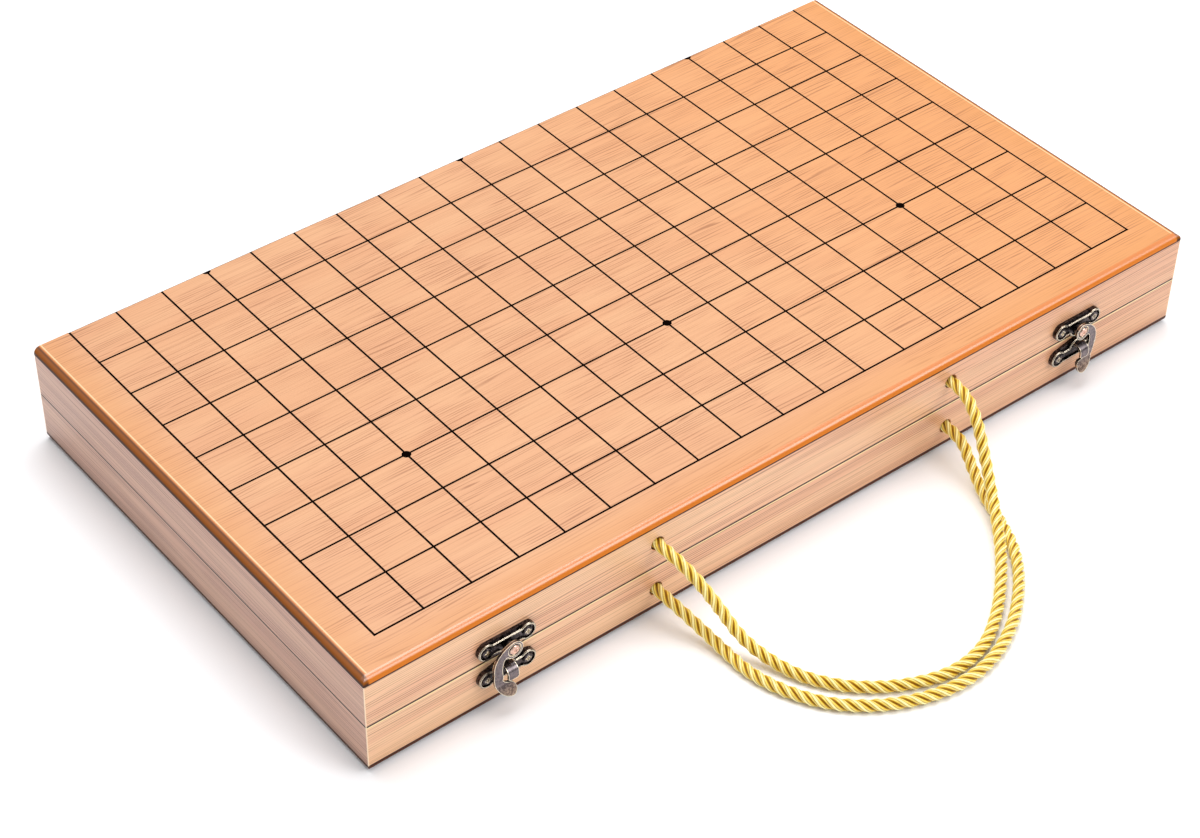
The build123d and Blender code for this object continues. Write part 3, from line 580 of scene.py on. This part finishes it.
def laid_rope_tree():
    """Geometry nodes that lay strands round a line. Each strand shows the yarns it is twisted from."""
    tree = bpy.data.node_groups.new("laid_rope", "GeometryNodeTree")
    tree.interface.new_socket("Line", in_out="INPUT", socket_type="NodeSocketGeometry")
    for name, kind, value in (
        ("Rope Diameter", "NodeSocketFloat", rope_diameter),
        ("Lay", "NodeSocketFloat", rope_lay),
        ("Strands", "NodeSocketInt", 3),
        ("Yarns", "NodeSocketInt", 6),
        ("Yarn Relief", "NodeSocketFloat", 0.10),
        ("Ring Step", "NodeSocketFloat", ring_step),
    ):
        tree.interface.new_socket(name, in_out="INPUT", socket_type=kind).default_value = value
    tree.interface.new_socket("Material", in_out="INPUT", socket_type="NodeSocketMaterial")
    tree.interface.new_socket("Rope", in_out="OUTPUT", socket_type="NodeSocketGeometry")
    given = add(tree, "NodeGroupInput").outputs

    line = add(tree, "GeometryNodeMeshToCurve", {"Mesh": given["Line"]})
    rings = add(tree, "GeometryNodeResampleCurve", {"Curve": line.outputs[0], "Length": given["Ring Step"]},
                mode="LENGTH")
    along = add(tree, "GeometryNodeInputNamedAttribute", {"Name": "along"}, data_type="FLOAT").outputs[0]
    side = add(tree, "GeometryNodeInputNamedAttribute", {"Name": "side"}, data_type="FLOAT_VECTOR").outputs[0]
    kept = add(tree, "GeometryNodeCaptureAttribute", {"Geometry": rings.outputs[0]})
    kept.capture_items.new("VECTOR", "Tangent")
    tree.links.new(add(tree, "GeometryNodeInputTangent").outputs[0], kept.inputs["Tangent"])

    copies = add(tree, "GeometryNodeDuplicateElements",
                 {"Geometry": kept.outputs[0], "Amount": given["Strands"]}, domain="SPLINE")
    share = add(tree, "ShaderNodeMath", {0: copies.outputs["Duplicate Index"], 1: given["Strands"]},
                operation="DIVIDE")
    laid = add(tree, "ShaderNodeMath", {0: along, 1: given["Lay"]}, operation="DIVIDE")
    turns = add(tree, "ShaderNodeMath", {0: laid.outputs[0], 1: share.outputs[0]}, operation="ADD")
    angle = add(tree, "ShaderNodeMath", {0: turns.outputs[0], 1: 2 * math.pi}, operation="MULTIPLY")
    outward = add(tree, "ShaderNodeVectorRotate",
                  {"Vector": side, "Axis": kept.outputs["Tangent"], "Angle": angle.outputs[0]},
                  rotation_type="AXIS_ANGLE")
    reach = add(tree, "ShaderNodeMath", {0: given["Rope Diameter"], 1: strand_reach_share},
                operation="MULTIPLY")
    offset = add(tree, "ShaderNodeVectorMath", {0: outward.outputs[0], "Scale": reach.outputs[0]},
                 operation="SCALE")
    strands = add(tree, "GeometryNodeSetPosition",
                  {"Geometry": copies.outputs[0], "Offset": offset.outputs[0]})
    facing = add(tree, "GeometryNodeSetCurveNormal",
                 {"Curve": strands.outputs[0], "Normal": outward.outputs[0]}, mode="FREE")

    strand_radius = add(tree, "ShaderNodeMath", {0: given["Rope Diameter"], 1: strand_radius_share},
                        operation="MULTIPLY")
    circle = add(tree, "GeometryNodeCurvePrimitiveCircle",
                 {"Resolution": profile_points, "Radius": strand_radius.outputs[0]})
    round_share = add(tree, "GeometryNodeSplineParameter")
    lobes = add(tree, "ShaderNodeMath", {0: given["Yarns"], 1: 2 * math.pi}, operation="MULTIPLY")
    lobe_angle = add(tree, "ShaderNodeMath", {0: round_share.outputs["Factor"], 1: lobes.outputs[0]},
                     operation="MULTIPLY")
    lobe = add(tree, "ShaderNodeMath", {0: lobe_angle.outputs[0]}, operation="COSINE")
    grown = add(tree, "ShaderNodeMath", {0: lobe.outputs[0], 1: given["Yarn Relief"], 2: 1.0},
                operation="MULTIPLY_ADD")
    place = add(tree, "GeometryNodeInputPosition")
    lobed = add(tree, "ShaderNodeVectorMath", {0: place.outputs[0], "Scale": grown.outputs[0]},
                operation="SCALE")
    profile = add(tree, "GeometryNodeSetPosition",
                  {"Geometry": circle.outputs[0], "Position": lobed.outputs[0]})
    yarn = add(tree, "GeometryNodeStoreNamedAttribute",
               {"Geometry": profile.outputs[0], "Name": "yarn", "Value": lobe.outputs[0]},
               data_type="FLOAT", domain="POINT")
    body = add(tree, "GeometryNodeCurveToMesh",
               {"Curve": facing.outputs[0], "Profile Curve": yarn.outputs[0], "Fill Caps": True})
    near = add(tree, "GeometryNodeProximity", {0: given["Line"]}, target_element="EDGES")
    depth = add(tree, "ShaderNodeMath", {0: near.outputs["Distance"], 1: given["Rope Diameter"]},
                operation="DIVIDE")
    stored = add(tree, "GeometryNodeStoreNamedAttribute",
                 {"Geometry": body.outputs[0], "Name": "outness", "Value": depth.outputs[0]},
                 data_type="FLOAT", domain="POINT")
    smooth = add(tree, "GeometryNodeSetShadeSmooth", {"Geometry": stored.outputs[0]})
    real = add(tree, "GeometryNodeRealizeInstances", {"Geometry": smooth.outputs[0]})
    dressed = add(tree, "GeometryNodeSetMaterial",
                  {"Geometry": real.outputs[0], "Material": given["Material"]})
    add(tree, "NodeGroupOutput", {"Rope": dressed.outputs[0]})
    return tree


def made_by(tree, name, mesh, values):
    """A plain mesh object that a geometry tree makes from a mesh, with the tree's inputs set by name."""
    seed = bpy.data.objects.new(name + "_seed", mesh)
    bpy.context.scene.collection.objects.link(seed)
    modifier = seed.modifiers.new("tree", "NODES")
    modifier.node_group = tree
    for item in tree.interface.items_tree:
        if item.item_type == "SOCKET" and item.name in values:
            modifier[item.identifier] = values[item.name]
    depsgraph = bpy.context.evaluated_depsgraph_get()
    result = bpy.data.meshes.new_from_object(seed.evaluated_get(depsgraph))
    bpy.data.objects.remove(seed)
    piece = bpy.data.objects.new(name, result)
    bpy.context.scene.collection.objects.link(piece)
    return piece


# Rayon satin: parallel filaments. The colour follows the distance from the rope's middle: bright yellow
# on the strands' crests, a painted highlight, and deep orange to brown in the valleys, painted shade for
# the light that passes through the strands into them. The yarns' grooves get painted shade too.
gold_satin, tree, shader = new_material("gold_rayon_satin")
outness = add(tree, "ShaderNodeAttribute", attribute_name="outness")
# Painted highlight on the crests and painted shade in the valleys, by distance from the rope's middle.
crest_highlight_valley_shade = add(tree, "ShaderNodeValToRGB", {"Fac": outness.outputs["Fac"]})
crest_highlight_valley_shade.color_ramp.elements[0].position = 0.25
crest_highlight_valley_shade.color_ramp.elements[0].color = linear("#4E2C02")
crest_highlight_valley_shade.color_ramp.elements[1].position = 0.50
crest_highlight_valley_shade.color_ramp.elements[1].color = linear("#FFF6AC")
for position, code in ((0.31, "#B07A0A"), (0.37, "#DEAC1C"), (0.44, "#F0D042")):
    crest_highlight_valley_shade.color_ramp.elements.new(position).color = linear(code)
yarn = add(tree, "ShaderNodeAttribute", attribute_name="yarn")
# Painted shade: the grooves between the yarns are darkened.
yarn_groove_shade = add(tree, "ShaderNodeMapRange", {
    "Value": yarn.outputs["Fac"], "From Min": -1.0, "From Max": 0.0, "To Min": 0.70, "To Max": 0.0,
}).outputs[0]
colour = painted(tree, crest_highlight_valley_shade.outputs["Color"], (yarn_groove_shade, "#A87810"))
tree.links.new(colour, shader.inputs["Base Color"])
shader.inputs["Roughness"].default_value = 0.30
shader.inputs["Specular IOR Level"].default_value = 0.7
shader.inputs["Sheen Weight"].default_value = 0.08
shader.inputs["Sheen Roughness"].default_value = 0.4

rope_tree = laid_rope_tree()
for half, hole_z, route in (("base", base_hole_z, base_rope_route), ("lid", lid_hole_z, lid_rope_route)):
    line = smooth_line(knot_route(-hole_x, hole_z) + route + knot_route(hole_x, hole_z)[::-1])
    lengths, sides = carried_along(line)
    outside = [i for i, point in enumerate(line) if point.y < front_y]
    first, last = outside[0], outside[-1]
    pieces = []
    for name, runs in (
        (f"{half}_rope_loop", [range(first, last + 1)]),
        (f"{half}_rope_ends", [range(0, first + 1), range(last, len(line))]),
    ):
        mesh = line_mesh(line, lengths, sides, runs)
        pieces.append(made_by(rope_tree, name, mesh, {"Material": gold_satin}))
    loop, ends = pieces
    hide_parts(f"{half}_handle_rope")
    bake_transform(loop)
    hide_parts(f"{half}_handle_knots")
    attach(ends, half)


# The stones, loose in the base: double-convex, moulded of glass and polished, black in the left
# compartment and white in the right one.
for node, name, dark, light in (
    ("black_stones", "polished_black_glass", "#0A0A0C", "#16161A"),
    ("white_stones", "polished_white_glass", "#D3D1CA", "#DFDDD6"),
):
    material, tree, shader = new_material(name)
    place = add(tree, "ShaderNodeTexCoord").outputs["Object"]
    cloud = grain(tree, place, (0.014, 0.014, 0.014), seed=2.9)
    tree.links.new(painted(tree, dark, (cloud, light)), shader.inputs["Base Color"])
    shader.inputs["Roughness"].default_value = 0.14
    wear(material, node)
